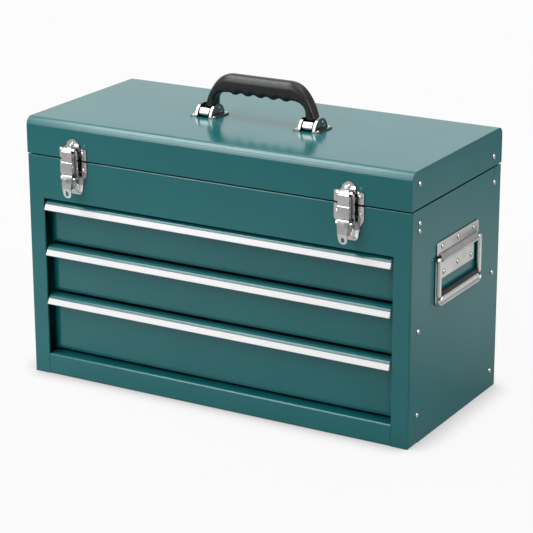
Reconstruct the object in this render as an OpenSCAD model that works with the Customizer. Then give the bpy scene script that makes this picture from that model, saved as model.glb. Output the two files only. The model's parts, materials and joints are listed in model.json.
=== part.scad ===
// Portable tool box: a riveted sheet-metal case with three drawers on slides, a
// hinged lid over a top compartment, two draw latches, a folding carrying handle
// and a drop handle on each end.
// Origin: middle of the bottom face. +X is the box's right, -Y its front, +Z up.

/* [Case] */
// Width across the two side panels
case_w = 520; // [430:1:630]
// Depth from the front panel to the back panel
case_d = 240; // [200:1:290]
// Height of the case without its lid
case_h = 281; // [230:1:340]
// Thickness of the folded sheet
sheet = 1; // [0.8:0.1:1.2]
// Width of the front uprights beside the drawers
stile_w = 22; // [20:1:27]
// Height of the front panel above the drawers
top_rail_h = 53; // [50:1:64]
// Height of the rail below the drawers
bottom_rail_h = 26.5; // [22:0.5:32]
// Length of the folds that tie the side panels to the front and back
corner_fold = 26; // [22:1:32]

/* [Lid] */
// Height of the lid
lid_h = 44.5; // [44:0.5:54]
// Gap between the case and the closed lid
lid_gap = 1.5; // [1.2:0.1:2]
// Outer radius of the lid's long edges
lid_r = 10; // [8:0.5:12]
// Diameter of the hinge pin
hinge_pin_d = 3; // [2.4:0.1:3.6]
// Number of knuckles along the hinge
knuckles = 11; // [7:2:15]

/* [Drawers] */
// Share of the drawer opening's height taken by the top drawer
top_share = 0.292; // [0.27:0.001:0.31]
// Share of the drawer opening's height taken by the middle drawer
middle_share = 0.318; // [0.3:0.001:0.33]
// Distance from the front panel back to the raised drawer face
face_setback = 11; // [10:0.5:13]
// Depth of the sloping border round each drawer face
border_depth = 3.5; // [2.5:0.5:4]
// Height of the drawer slides
slide_h = 20; // [17:1:23]

/* [Hardware] */
// Half the distance between the middles of the two latches
latch_x = 187; // [150:1:196]
// Distance that the pair of latches sits off the middle of the box
latch_shift = -5; // [-8:0.5:8]
// Width of the latch plates
latch_w = 38; // [34:1:44]
// Distance between the middles of the carrying handle's feet
handle_span = 142; // [125:1:170]
// Height of the carrying handle above the lid
handle_h = 54; // [50:1:60]
// Width of the drop handles at the ends of the box
bail_w = 117; // [100:1:141]
// Length of the drop handles, from the pivot to the lower edge
bail_h = 56; // [50:1:66]
// Gap between pieces that move past each other
clear = 0.3; // [0.25:0.05:0.4]
// Radial clearance of a pin in its bore
pin_fit = 0.05; // [0.03:0.01:0.08]

/* [Hidden] */
$fn = 48;

// Colours
paint = [0.13, 0.36, 0.36];
nickel = [0.78, 0.77, 0.75];
zinc = [0.66, 0.67, 0.68];
trim = [0.93, 0.93, 0.93];
black = [0.13, 0.13, 0.14];

// Case outline
half_w = case_w / 2;
half_d = case_d / 2;
front_y = -half_d;
back_y = half_d;
fold_r = 2.2;
hem_r = 1.5;
seam = 0.2;
hem = 12;
side_hem = 2.5;
top_hem = 9;
open_hw = half_w - stile_w;
open_top = case_h - top_rail_h;
open_h = open_top - bottom_rail_h;
inner_hw = half_w - 2 * sheet;
floor_z = open_top + 3;
pan_flange = 14;

// Lid outline
lid_z = case_h + lid_gap;
lid_top = lid_z + lid_h;
lid_inset = 0.5;
lid_fit = 0.1;
lid_lip = 6;

// Hinge
hinge_pin_r = hinge_pin_d / 2;
knuckle_r = hinge_pin_r + 1.1;
hinge_y = back_y + knuckle_r + 0.1;
hinge_z = case_h + lid_gap / 2;
hinge_len = case_w - 70;
hinge_leaf = 20;
hinge_rivets = 5;
knuckle_pitch = hinge_len / knuckles;

// Drawers, listed from the top one down
gap_top = 3;
gap_between = 3;
gap_bottom = 4;
stack_h = open_h - gap_top - 2 * gap_between - gap_bottom;
drawer_hs = [stack_h * top_share, stack_h * middle_share, stack_h * (1 - top_share - middle_share)];
drawer_tops = [
    open_top - gap_top,
    open_top - gap_top - drawer_hs[0] - gap_between,
    open_top - gap_top - drawer_hs[0] - drawer_hs[1] - 2 * gap_between
];
face_y = front_y + face_setback;
rim_y = face_y + border_depth;
face_hw = open_hw - 1.2;
pull_hw = open_hw - 2.5;
border_w = 10.5;
border_h = 6.5;
tray_hw = open_hw - 7;
tray_back = back_y - 20;
tray_drop = 10;
nose_r = 8;
nose_y = front_y + 6.8;
lip_tilt = 28;
lip_len = 7.4;
trim_t = 1;

// Slides
slide_web = 1.2;
slide_reach = open_hw - clear;
post_face = open_hw + 4;
slide_front = rim_y + sheet + 12;
slide_back = back_y - 8;
post_w = 28;

// Latch, in its own frame: X from the latch's middle, Y and Z as the box
plate_t = 1.2;
latch_t = 0.8;
latch_face = front_y - 15;
lever_pivot = [front_y - 10, case_h - 4];
lever_pin_r = 1.2;
lever_hw = 5.8;
ear_hw = lever_hw - latch_t - 0.4;
ear_t = 1;
arm_r = 3;
claw_hw = 7.3;
claw_split = case_h - 13.8;
claw_pivot = [front_y - 11, case_h - 19.5];
claw_top = lid_z + 17;
claw_arm_in = 7.7;
claw_arm_t = 2.2;
lever_top = claw_split - 1.2;
lever_knee = case_h - 31;
lever_bulge = 1.8;
tab_r = 5.6;
tab_z = case_h - 37.8;

// Carrying handle
foot_x = handle_span / 2;
foot_y = -3.5;
foot_w = 35;
foot_d = 35;
foot_t = 2;
ear_r = 16;
ear_z = lid_top - 1;
ear_gap = 8.2;
foot_ear_t = 3.2;
guard_hw = 7.2;
handle_pin_r = 2;
handle_pivot = [1.5, lid_top + 9.3];
leg_foot = handle_pivot[1] + handle_pin_r + clear;

// Drop handles
end_plate_t = 1.5;
end_plate_w = bail_w - 5;
rod_r = 2.1;
rod_x = half_w + 3.4;
rod_z = case_h - 72;
end_knuckle_r = rod_r + 1.2;
knuckle_hl = bail_w / 2 - 9.5;
bail_depth = 6;
bail_leg_w = 8;
bail_bar_h = 12;
bail_t = 1.2;

// ---- Helpers ----

// Extrudes a profile drawn in (y, z) along X
module along_x(x0, len) {
    translate([x0, 0, 0])
        rotate([90, 0, 90])
            linear_extrude(height = len)
                children();
}

// Extrudes a profile drawn in (x, z) along Y
module along_y(y0, len) {
    translate([0, y0 + len, 0])
        rotate([90, 0, 0])
            linear_extrude(height = len)
                children();
}

// Extrudes a profile drawn in (x, y) along Z
module along_z(z0, len) {
    translate([0, 0, z0])
        linear_extrude(height = len)
            children();
}

// Box given by its two opposite corners
module block(low, high) {
    translate(low)
        cube(high - low);
}

// Rectangle with four round corners, given by its two opposite corners
module soft_rect(low, high, r) {
    size = high - low;
    translate(low + [r, 0])
        square([size[0] - 2 * r, size[1]]);
    translate(low + [0, r])
        square([size[0], size[1] - 2 * r]);
    for (x = [r, size[0] - r], y = [r, size[1] - r])
        translate(low + [x, y])
            circle(r);
}

// Copies its children to both sides of the box
module both_sides() {
    children();
    mirror([1, 0, 0])
        children();
}

// Domed rivet head standing on the plane z = 0
module dome(r, h) {
    ball = (r * r + h * h) / (2 * h);
    intersection() {
        translate([0, 0, h - ball])
            sphere(ball);
        cylinder(r = r + 1, h = h + 1);
    }
}

// Rivet head on a face that looks towards -Y
module front_dome(x, y, z, r, h) {
    translate([x, y, z])
        rotate([90, 0, 0])
            dome(r, h);
}

// Rivet head on a face that looks towards +X
module side_dome(x, y, z, r, h) {
    translate([x, y, z])
        rotate([0, 90, 0])
            dome(r, h);
}

// ---- Case ----

// Outline in (y, z) that rounds the top long edges of the case sheets
module case_envelope() {
    soft_rect([front_y, -10], [back_y, case_h], hem_r);
}

// Plan of a front sheet with a fold at each end that runs back inside the side panels
module wrap_plan() {
    difference() {
        soft_rect([-half_w, front_y], [half_w, front_y + 2 * fold_r + 2], fold_r);
        soft_rect(
            [-half_w + sheet, front_y + sheet],
            [half_w - sheet, front_y + 3 * fold_r + 2],
            fold_r - sheet
        );
        translate([-half_w - 1, front_y + fold_r])
            square([case_w + 2, fold_r + 4]);
    }
    for (side = [-1, 1])
        translate([side * (half_w - 1.5 * sheet) - sheet / 2, front_y + fold_r - sheet])
            square([sheet, corner_fold - fold_r + sheet]);
}

// Short step that ties the fold to the rounded corner
module wrap_step() {
    for (side = [-1, 1])
        translate([side * (half_w - sheet) - 0.6 * sheet, front_y + fold_r - 0.7])
            square([1.2 * sheet, 0.7]);
}

module side_panel() {
    notch_d = 25;
    notch_h = 1.5;
    slot_y = back_y - 21;
    slot_h = 11;
    color(paint)
        difference() {
            block(
                [half_w - sheet, front_y + fold_r + seam, 0],
                [half_w, back_y - fold_r - seam, case_h]
            );
            block([half_w - 2, front_y, -1], [half_w + 1, front_y + notch_d, notch_h]);
            block([half_w - 2, slot_y, case_h - slot_h], [half_w + 1, slot_y + 1, case_h + 1]);
        }
}

module side_panel_left() {
    mirror([1, 0, 0])
        side_panel();
}

module side_panel_right() {
    side_panel();
}

module front_frame() {
    color(paint) {
        intersection() {
            difference() {
                along_z(0, case_h) {
                    wrap_plan();
                    wrap_step();
                }
                block([-open_hw, front_y - 1, -1], [open_hw, front_y + 2 * hem, open_top]);
            }
            along_x(-half_w - 1, case_w + 2)
                case_envelope();
        }
        both_sides()
            block([open_hw, front_y + 0.2, 0], [open_hw + sheet, front_y + side_hem, open_top + sheet]);
        block(
            [-open_hw, front_y + 0.2, open_top],
            [open_hw, front_y + hem, open_top + sheet]
        );
        block(
            [-inner_hw, front_y + hem_r, case_h - sheet],
            [inner_hw, front_y + top_hem, case_h]
        );
    }
}

module back_panel() {
    color(paint)
        mirror([0, 1, 0]) {
            intersection() {
                along_z(0, case_h) {
                    wrap_plan();
                    wrap_step();
                }
                along_x(-half_w - 1, case_w + 2)
                    case_envelope();
            }
            block(
                [-inner_hw, front_y + hem_r, case_h - sheet],
                [inner_hw, front_y + top_hem, case_h]
            );
        }
}

// Section of the bottom rail in (y, z): a channel that opens to the back
module rail_section() {
    rail_d = 20;
    difference() {
        soft_rect([front_y, 0], [front_y + rail_d + fold_r, bottom_rail_h], fold_r);
        soft_rect(
            [front_y + sheet, sheet],
            [front_y + rail_d + 2 * fold_r, bottom_rail_h - sheet],
            fold_r - sheet
        );
        translate([front_y + rail_d, -1])
            square([fold_r + 1, bottom_rail_h + 2]);
    }
}

module bottom_pan() {
    rail_hw = open_hw - clear;
    front_edge = front_y + hem + clear;
    back_edge = back_y - sheet - seam;
    color(paint) {
        along_x(-rail_hw, 2 * rail_hw)
            rail_section();
        block([-inner_hw, front_edge, 0], [inner_hw, back_edge, sheet]);
        both_sides()
            block(
                [open_hw + sheet + clear, front_y + sheet + seam, 0],
                [inner_hw, front_edge + 1, sheet]
            );
        both_sides()
            block([inner_hw - sheet, front_edge, 0], [inner_hw, back_edge, pan_flange]);
        block([-inner_hw, back_edge - sheet, 0], [inner_hw, back_edge, pan_flange]);
    }
}

module compartment_floor() {
    flange = 11;
    low = [-inner_hw, front_y + sheet + seam, floor_z];
    high = [inner_hw, back_y - sheet - seam, floor_z + flange];
    color(paint)
        difference() {
            block(low, high);
            block(low + [sheet, sheet, sheet], high + [-sheet, -sheet, 1]);
        }
}

// Two upright channels that carry the slides on one side of the case
module slide_post() {
    top = floor_z - 1.5;
    color(paint)
        for (y = [slide_front + 4, slide_back - post_w - 8])
            difference() {
                block([post_face, y, sheet], [inner_hw - sheet, y + post_w, top]);
                block(
                    [post_face + sheet, y + sheet, 0],
                    [inner_hw, y + post_w - sheet, top + 1]
                );
            }
}

module slide_post_left() {
    mirror([1, 0, 0])
        slide_post();
}

module slide_post_right() {
    slide_post();
}

// Height of the middle of a drawer's slides
function slide_z(i) = drawer_tops[i] - drawer_hs[i] + 5 + slide_h / 2;

// Pair of channels fixed to the posts, open towards the drawer
module case_slide(i) {
    z = slide_z(i);
    low = [tray_hw + 2.5, slide_front, z - slide_h / 2];
    high = [post_face, slide_back, z + slide_h / 2];
    color(zinc)
        both_sides()
            difference() {
                block(low, high);
                block(low + [-1, -1, slide_web], high + [-slide_web, 1, -slide_web]);
            }
}

// Pair of channels fixed to the drawer, running inside the case channels
module drawer_slide(i) {
    z = slide_z(i);
    half = slide_h / 2 - slide_web - clear;
    low = [tray_hw, slide_front + 1, z - half];
    high = [slide_reach, tray_back - 1, z + half];
    color(zinc)
        both_sides()
            difference() {
                block(low, high);
                block(low + [slide_web, -1, slide_web], high + [1, 1, -slide_web]);
            }
}

// Side rivets as [y, z]
rivet_in = 20;
case_rivet_places = [
    [front_y + rivet_in, case_h - 16],
    [front_y + rivet_in, case_h - 25],
    [front_y + rivet_in + 1, case_h * 0.487],
    [front_y + rivet_in + 2, 35],
    [back_y - rivet_in, case_h - 18],
    [back_y - rivet_in + 1, case_h * 0.534],
    [back_y - rivet_in + 3, 23]
];
lid_rivet_places = [[front_y + 19, lid_top - 16], [back_y - 22, lid_z + 12.5]];

module case_rivets() {
    color(nickel)
        both_sides()
            for (place = case_rivet_places)
                side_dome(half_w, place[0], place[1], 3.6, 2);
}

module lid_rivets() {
    color(nickel)
        both_sides()
            for (place = lid_rivet_places)
                side_dome(half_w - lid_inset, place[0], place[1], 3.6, 2);
}

// ---- Hinge ----

// One leaf and its knuckles; up is 1 for the lid's leaf and -1 for the case's leaf
module hinge_leaf(up, first) {
    step = 2 * knuckle_pitch;
    count = first == 0 ? (knuckles + 1) / 2 : (knuckles - 1) / 2;
    color(zinc)
        difference() {
            union() {
                leaf_low = up > 0 ? hinge_z + knuckle_r + 0.6 : hinge_z - hinge_leaf;
                leaf_high = up > 0 ? hinge_z + hinge_leaf : hinge_z - knuckle_r - 0.6;
                block([-hinge_len / 2, back_y, leaf_low], [hinge_len / 2, back_y + sheet, leaf_high]);
                for (i = [0 : count - 1]) {
                    x = -hinge_len / 2 + first * knuckle_pitch + i * step + 0.2;
                    along_x(x, knuckle_pitch - 0.4) {
                        translate([hinge_y, hinge_z])
                            circle(knuckle_r);
                        translate([back_y + 0.1, min(hinge_z, hinge_z + up * (knuckle_r + 1.6))])
                            square([sheet - 0.1, knuckle_r + 1.6]);
                    }
                }
            }
            translate([-hinge_len / 2 - 1, hinge_y, hinge_z])
                rotate([0, 90, 0])
                    cylinder(r = hinge_pin_r + pin_fit, h = hinge_len + 2);
        }
}

module hinge_case_leaf() {
    hinge_leaf(-1, 0);
}

module hinge_lid_leaf() {
    hinge_leaf(1, 1);
}

module hinge_pin() {
    color(zinc)
        translate([-hinge_len / 2 + 0.4, hinge_y, hinge_z])
            rotate([0, 90, 0])
                cylinder(r = hinge_pin_r, h = hinge_len - 0.8);
}

module hinge_rivet_row(z) {
    for (i = [0 : hinge_rivets - 1])
        translate([(i - (hinge_rivets - 1) / 2) * (hinge_len - 40) / (hinge_rivets - 1), 0, 0])
            translate([0, back_y + sheet, z])
                rotate([-90, 0, 0])
                    dome(2.8, 1.5);
}

// ---- Lid ----

// Outline of the lid's section in (y, z), pulled in by a distance on every side but the bottom
module lid_outline(inset) {
    low = [front_y + inset, lid_z];
    high = [back_y - inset, lid_top - inset];
    r = lid_r - inset;
    difference() {
        soft_rect(low - [0, 2 * lid_r], high, r);
        translate([front_y - 1, lid_z - 4 * lid_r])
            square([case_d + 2, 4 * lid_r]);
    }
}

module lid_shell() {
    tab = 28;
    color(paint) {
        along_x(-half_w, case_w)
            difference() {
                lid_outline(0);
                lid_outline(sheet);
            }
        block(
            [-half_w + 3, front_y + 0.4, lid_z],
            [half_w - 3, front_y + lid_lip, lid_z + sheet]
        );
        block(
            [-half_w + 3, back_y - lid_lip, lid_z],
            [half_w - 3, back_y - 0.4, lid_z + sheet]
        );
        both_sides()
            for (y = [front_y + 0.5, back_y - tab])
                block(
                    [half_w - lid_inset - 2 * sheet, y, lid_z + 2],
                    [half_w - lid_inset - sheet, y + tab - 0.5, lid_top - lid_r - 1]
                );
    }
}

module lid_end() {
    color(paint)
        along_x(half_w - lid_inset - sheet, sheet)
            lid_outline(sheet + lid_fit);
}

module lid_end_left() {
    mirror([1, 0, 0])
        lid_end();
}

module lid_end_right() {
    lid_end();
}

// ---- Latches ----

base_rivet_places = [[-14.7, case_h - 9.6], [14.7, case_h - 9.6], [0, case_h - 35]];
keeper_rivet_places = [[-14, lid_z + 8.8], [14, lid_z + 8.8], [0, lid_z + 19.7]];

// Outline of the plate on the case in (x, z)
module base_outline() {
    half = latch_w / 2;
    waist = half - 4.6;
    end_hw = half - 6.7;
    soft_rect([-half, case_h - 17.5], [half, case_h - 0.3], 1.5);
    polygon([
        [-half, case_h - 16.5],
        [half, case_h - 16.5],
        [waist, case_h - 24],
        [end_hw, case_h - 36],
        [-end_hw, case_h - 36],
        [-waist, case_h - 24]
    ]);
    soft_rect([-end_hw, case_h - 41], [end_hw, case_h - 30], 5);
}

// Outline of the plate on the lid in (x, z)
module keeper_outline() {
    half = latch_w / 2;
    low = lid_z + 0.4;
    lobe = 8.2;
    soft_rect([-half, low], [half, lid_z + 14], 2);
    difference() {
        polygon([
            [-half + 2, lid_z + 13],
            [half - 2, lid_z + 13],
            [lobe - 0.6, lid_z + 21.5],
            [-lobe + 0.6, lid_z + 21.5]
        ]);
        for (side = [-1, 1])
            translate([side * (lobe + 7), lid_z + 21])
                circle(7);
    }
    translate([0, lid_z + 16.9])
        circle(lobe);
}

module latch_base() {
    ear_low = case_h - 12;
    color(nickel)
        difference() {
            union() {
                along_y(front_y - plate_t, plate_t)
                    base_outline();
                both_sides()
                    along_x(ear_hw - ear_t, ear_t) {
                        translate([lever_pivot[0] - arm_r, ear_low])
                            square([front_y - lever_pivot[0] + arm_r - 0.2, lever_pivot[1] - ear_low]);
                        translate(lever_pivot)
                            circle(arm_r);
                        translate([lever_pivot[0], lever_pivot[1] - 1])
                            square([front_y - lever_pivot[0] - 0.2, 3]);
                    }
            }
            translate([-ear_hw - 1, lever_pivot[0], lever_pivot[1]])
                rotate([0, 90, 0])
                    cylinder(r = lever_pin_r + pin_fit, h = 2 * ear_hw + 2);
        }
}

module latch_keeper() {
    color(nickel) {
        along_y(front_y - plate_t, plate_t)
            keeper_outline();
        along_y(front_y - plate_t - 1.4, 1.6)
            soft_rect([-5.5, lid_z + 4], [5.5, lid_z + 10], 1);
    }
}

// Outline of the lever's front plate in (x, z)
module lever_outline() {
    half = claw_hw - 0.1;
    polygon([
        [-half, lever_top],
        [half, lever_top],
        [half, lever_top - 8],
        [half - 1, lever_knee],
        [tab_r, tab_z],
        [-tab_r, tab_z],
        [-half + 1, lever_knee],
        [-half, lever_top - 8]
    ]);
    translate([0, tab_z])
        circle(tab_r);
}

// Section of the lever's front plate in (y, z): it leans out to a knee and back to the tab
module lever_section() {
    tip = tab_z - tab_r - 0.5;
    polygon([
        [latch_face + 0.7, lever_top],
        [latch_face, lever_top - 0.9],
        [latch_face - lever_bulge, lever_knee],
        [latch_face - 0.4, tab_z],
        [latch_face + 0.8, tip],
        [latch_face + 1.8, tip],
        [latch_face + 0.6, tab_z],
        [latch_face + 1 - lever_bulge, lever_knee],
        [latch_face + 1, lever_top - 1.5],
        [latch_face + 1.3, lever_top]
    ]);
}

module latch_lever() {
    cheek_back = front_y - 3.5;
    color(nickel)
        difference() {
            union() {
                intersection() {
                    along_y(latch_face - 4, 8)
                        lever_outline();
                    along_x(-claw_hw, 2 * claw_hw)
                        lever_section();
                }
                both_sides()
                    along_x(lever_hw - latch_t, latch_t) {
                        polygon([
                            [latch_face + 0.8, lever_top - 0.3],
                            [latch_face + 0.5 - lever_bulge, lever_knee],
                            [latch_face + 0.8 - lever_bulge, lever_knee - 2],
                            [cheek_back, lever_knee + 1],
                            [cheek_back, lever_top - 0.3]
                        ]);
                        translate([lever_pivot[0] - arm_r, lever_top - 3])
                            square([2 * arm_r, lever_pivot[1] - lever_top + 3]);
                        translate(lever_pivot)
                            circle(arm_r);
                    }
            }
            translate([-lever_hw - 1, lever_pivot[0], lever_pivot[1]])
                rotate([0, 90, 0])
                    cylinder(r = lever_pin_r + pin_fit, h = 2 * lever_hw + 2);
            translate([-lever_hw - 1, claw_pivot[0], claw_pivot[1]])
                rotate([0, 90, 0])
                    cylinder(r = lever_pin_r + pin_fit, h = 2 * lever_hw + 2);
            along_y(latch_face - 4, 8)
                soft_rect([-2, tab_z - 3.6], [2, tab_z + 4.6], 1.9);
        }
}

hook_r = 5.7;
hook_y = latch_face + hook_r;
hook_z = claw_top - hook_r;

// Section of the claw's front plate in (y, z): a raised pad under a set-back upper part
module claw_section() {
    pad_top = case_h + 1;
    back = 1.7;
    polygon([
        [latch_face, claw_split],
        [latch_face, pad_top - 0.9],
        [latch_face + 0.7, pad_top],
        [latch_face + 1.1, pad_top],
        [latch_face + 1.1, pad_top + 0.7],
        [latch_face + 0.4, pad_top + 0.7],
        [latch_face + 0.4, hook_z + 0.3],
        [latch_face + back, hook_z + 0.3],
        [latch_face + back, claw_split]
    ]);
}

// Outline of the arm beside the claw in (y, z): from the pivot up and over to the hook
module claw_arm_outline() {
    arm_y = front_y - 6.5;
    half = 1.2;
    bend_r = 12;
    bend = [arm_y - bend_r, hook_z - 6.3];
    sweep = 62;
    translate(claw_pivot)
        circle(arm_r - 0.2);
    translate(claw_pivot - [0, half])
        square([arm_y - claw_pivot[0], 2 * half]);
    translate([arm_y, claw_pivot[1]])
        circle(half);
    translate([arm_y - half, claw_pivot[1]])
        square([2 * half, bend[1] - claw_pivot[1]]);
    intersection() {
        difference() {
            translate(bend)
                circle(bend_r + half);
            translate(bend)
                circle(bend_r - half);
        }
        polygon([
            bend,
            bend + [2 * bend_r, 0],
            bend + [2 * bend_r, 2 * bend_r],
            bend + 2 * bend_r * [cos(sweep), sin(sweep)]
        ]);
    }
}

module latch_claw() {
    cheek_back = front_y - 3.6;
    cheek_low = claw_split + 1;
    tie_r = 1.1;
    outer = claw_arm_in + claw_arm_t;
    color(nickel)
        difference() {
            union() {
                along_x(-claw_hw, 2 * claw_hw)
                    claw_section();
                intersection() {
                    along_x(-claw_hw, 2 * claw_hw)
                        difference() {
                            translate([hook_y, hook_z])
                                circle(hook_r);
                            translate([hook_y, hook_z])
                                circle(hook_r - latch_t);
                            translate([hook_y - 2 * hook_r, hook_z - 2 * hook_r])
                                square([4 * hook_r, 2 * hook_r]);
                        }
                    along_y(latch_face - 1, 2 * hook_r + 2)
                        polygon([
                            [-claw_hw, hook_z - 1],
                            [claw_hw, hook_z - 1],
                            [claw_hw, hook_z],
                            [claw_hw - 2.8, claw_top],
                            [-claw_hw + 2.8, claw_top],
                            [-claw_hw, hook_z]
                        ]);
                }
                both_sides() {
                    along_x(claw_hw - latch_t, latch_t)
                        polygon([
                            [latch_face + 1, cheek_low],
                            [cheek_back, cheek_low],
                            [cheek_back, hook_z - 8],
                            [latch_face + 5, hook_z - 1],
                            [latch_face + 1, hook_z - 1]
                        ]);
                    along_x(claw_arm_in, claw_arm_t)
                        claw_arm_outline();
                }
                along_x(-outer, 2 * outer)
                    translate([hook_y - 3, hook_z + 3.3])
                        circle(tie_r);
            }
            translate([-outer - 1, claw_pivot[0], claw_pivot[1]])
                rotate([0, 90, 0])
                    cylinder(r = lever_pin_r + pin_fit, h = 2 * outer + 2);
        }
}

module latch_base_left() {
    translate([latch_shift - latch_x, 0, 0])
        latch_base();
}

module latch_base_right() {
    translate([latch_shift + latch_x, 0, 0])
        latch_base();
}

module latch_keeper_left() {
    translate([latch_shift - latch_x, 0, 0])
        latch_keeper();
}

module latch_keeper_right() {
    translate([latch_shift + latch_x, 0, 0])
        latch_keeper();
}

module latch_lever_left() {
    translate([latch_shift - latch_x, 0, 0])
        latch_lever();
}

module latch_lever_right() {
    translate([latch_shift + latch_x, 0, 0])
        latch_lever();
}

module latch_claw_left() {
    translate([latch_shift - latch_x, 0, 0])
        latch_claw();
}

module latch_claw_right() {
    translate([latch_shift + latch_x, 0, 0])
        latch_claw();
}

// Pin along X through the ears of a latch
module latch_pin(x, pivot, half) {
    color(zinc)
        translate([x - half, pivot[0], pivot[1]])
            rotate([0, 90, 0])
                cylinder(r = lever_pin_r, h = 2 * half);
}

module latch_base_pins() {
    for (side = [-1, 1])
        latch_pin(latch_shift + side * latch_x, lever_pivot, lever_hw);
}

module latch_lever_pin_left() {
    latch_pin(latch_shift - latch_x, claw_pivot, claw_arm_in + claw_arm_t);
}

module latch_lever_pin_right() {
    latch_pin(latch_shift + latch_x, claw_pivot, claw_arm_in + claw_arm_t);
}

module case_small_rivets() {
    color(nickel) {
        for (side = [-1, 1], place = base_rivet_places)
            front_dome(latch_shift + side * latch_x + place[0], front_y - plate_t, place[1], 2.8, 1.5);
        hinge_rivet_row(hinge_z - hinge_leaf + 6);
    }
}

module lid_small_rivets() {
    color(nickel) {
        for (side = [-1, 1], place = keeper_rivet_places)
            front_dome(latch_shift + side * latch_x + place[0], front_y - plate_t, place[1], 2.8, 1.5);
        hinge_rivet_row(hinge_z + hinge_leaf - 6);
        for (side = [-1, 1], x = [-14, 14], y = [-13.4, 13.4])
            translate([side * foot_x + x, foot_y + y, lid_top + foot_t])
                dome(2, 1);
    }
}

// ---- Carrying handle ----

module handle_foot() {
    slot_x = foot_w / 2 - 3.1;
    front_cut = foot_y - 4.5;
    color(nickel)
        difference() {
            union() {
                along_z(lid_top, foot_t)
                    soft_rect(
                        [-foot_w / 2, foot_y - foot_d / 2],
                        [foot_w / 2, foot_y + foot_d / 2],
                        2.5
                    );
                both_sides()
                    along_x(ear_gap, foot_ear_t)
                        intersection() {
                            translate([foot_y, ear_z])
                                circle(ear_r);
                            translate([foot_y - ear_r, lid_top + 1])
                                square([2 * ear_r, ear_r]);
                        }
            }
            translate([-foot_w, handle_pivot[0], handle_pivot[1]])
                rotate([0, 90, 0])
                    cylinder(r = handle_pin_r + pin_fit, h = 2 * foot_w);
            block(
                [-ear_gap, foot_y - foot_d, lid_top - 1],
                [ear_gap, front_cut, lid_top + foot_t + 1]
            );
            for (side = [-1, 1])
                translate([side * slot_x, foot_y, 0])
                    along_z(lid_top - 1, foot_t + 2)
                        soft_rect([-1.2, -8], [1.2, 8], 1.15);
        }
}

// Chrome end of a handle leg: a barrel on the pin and a curved guard in front of it
module handle_knuckle() {
    barrel_hw = ear_gap - clear;
    guard_t = 1.6;
    guard_low = lid_top + 0.5;
    centre = [foot_y, ear_z];
    color(nickel)
        difference() {
            union() {
                along_x(-barrel_hw, 2 * barrel_hw) {
                    intersection() {
                        translate(handle_pivot)
                            circle(5.2);
                        translate([-10, lid_top])
                            square([20, leg_foot - lid_top]);
                    }
                    translate([-8, leg_foot - 4.5])
                        square([handle_pivot[0] + 8, 4.5]);
                }
                along_x(-guard_hw, 2 * guard_hw)
                    intersection() {
                        difference() {
                            translate(centre)
                                circle(ear_r);
                            intersection() {
                                translate(centre)
                                    circle(ear_r - guard_t);
                                translate([-2 * ear_r, lid_top])
                                    square([2 * ear_r, leg_foot - guard_t - lid_top]);
                            }
                        }
                        translate([-2 * ear_r, guard_low])
                            square([2 * ear_r - 7, leg_foot - guard_low]);
                    }
            }
            translate([-foot_w, handle_pivot[0], handle_pivot[1]])
                rotate([0, 90, 0])
                    cylinder(r = handle_pin_r + pin_fit, h = 2 * foot_w);
        }
}

module handle_foot_left() {
    translate([-foot_x, 0, 0])
        handle_foot();
}

module handle_foot_right() {
    translate([foot_x, 0, 0])
        handle_foot();
}

module handle_knuckle_left() {
    translate([-foot_x, 0, 0])
        handle_knuckle();
}

module handle_knuckle_right() {
    translate([foot_x, 0, 0])
        handle_knuckle();
}

module handle_pins() {
    half = ear_gap + foot_ear_t - 0.2;
    color(nickel)
        for (side = [-1, 1])
            translate([side * foot_x - half, handle_pivot[0], handle_pivot[1]])
                rotate([0, 90, 0])
                    cylinder(r = handle_pin_r, h = 2 * half);
}

// The grip is swept from section to section: each has an outer and an inner point in
// (x, z), a depth along Y and the radius of its inner edges. The left half is drawn and
// the right half mirrors it.
grip_top = lid_top + handle_h;
grip_low = grip_top - 22.5;
bar_hl = foot_x - 33;
groove_pitch = 16.2;
groove_depth = 2.6;
leg_steps = 4;
elbow_steps = 12;
bar_steps = 24;
corner_steps = 6;
outer_r = 5.5;
leg_inner_r = 2.2;
bar_inner_r = 7.5;
function mix(a, b, t) = a * (1 - t) + b * t;
function bend_line(a, b, c, d, t) =
    mix(mix(mix(a, b, t), mix(b, c, t), t), mix(mix(b, c, t), mix(c, d, t), t), t);
function groove(x) = groove_depth * (1 + cos(360 * x / groove_pitch)) / 2;
function outer_leg(t) = mix([-foot_x - 5.6, leg_foot], [-foot_x - 1.5, leg_foot + 10], t);
function inner_leg(t) = [-foot_x + ear_gap - 0.4, leg_foot + 8.8 * t];
function outer_elbow(t) = bend_line(
    outer_leg(1),
    [-foot_x + 6.5, grip_top - 13.5],
    [-bar_hl - 19, grip_top],
    [-bar_hl, grip_top],
    t
);
function inner_elbow(t) = bend_line(
    inner_leg(1),
    [-foot_x + 9.6, leg_foot + 14],
    [-foot_x + 14, grip_low + 0.5],
    [-bar_hl - 3, grip_low - groove(bar_hl)],
    t
);
grip_half = [
    for (i = [0 : leg_steps - 1])
        let (t = i / leg_steps)
            [outer_leg(t), inner_leg(t), mix(16.5, 18, t), leg_inner_r],
    for (i = [0 : elbow_steps - 1])
        let (t = i / elbow_steps)
            [outer_elbow(t), inner_elbow(t), mix(18, 20, t), mix(leg_inner_r, bar_inner_r, t)],
    for (i = [0 : bar_steps])
        let (t = i / bar_steps, x = -bar_hl * (1 - t))
            [[x, grip_top], [x - 3 * (1 - t), grip_low - groove(x)], 20, bar_inner_r]
];
function flip(s) = [[-s[0][0], s[0][1]], [-s[1][0], s[1][1]], s[2], s[3]];
grip_sections = [
    for (s = grip_half) s,
    for (i = [len(grip_half) - 2 : -1 : 0]) flip(grip_half[i])
];
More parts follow.
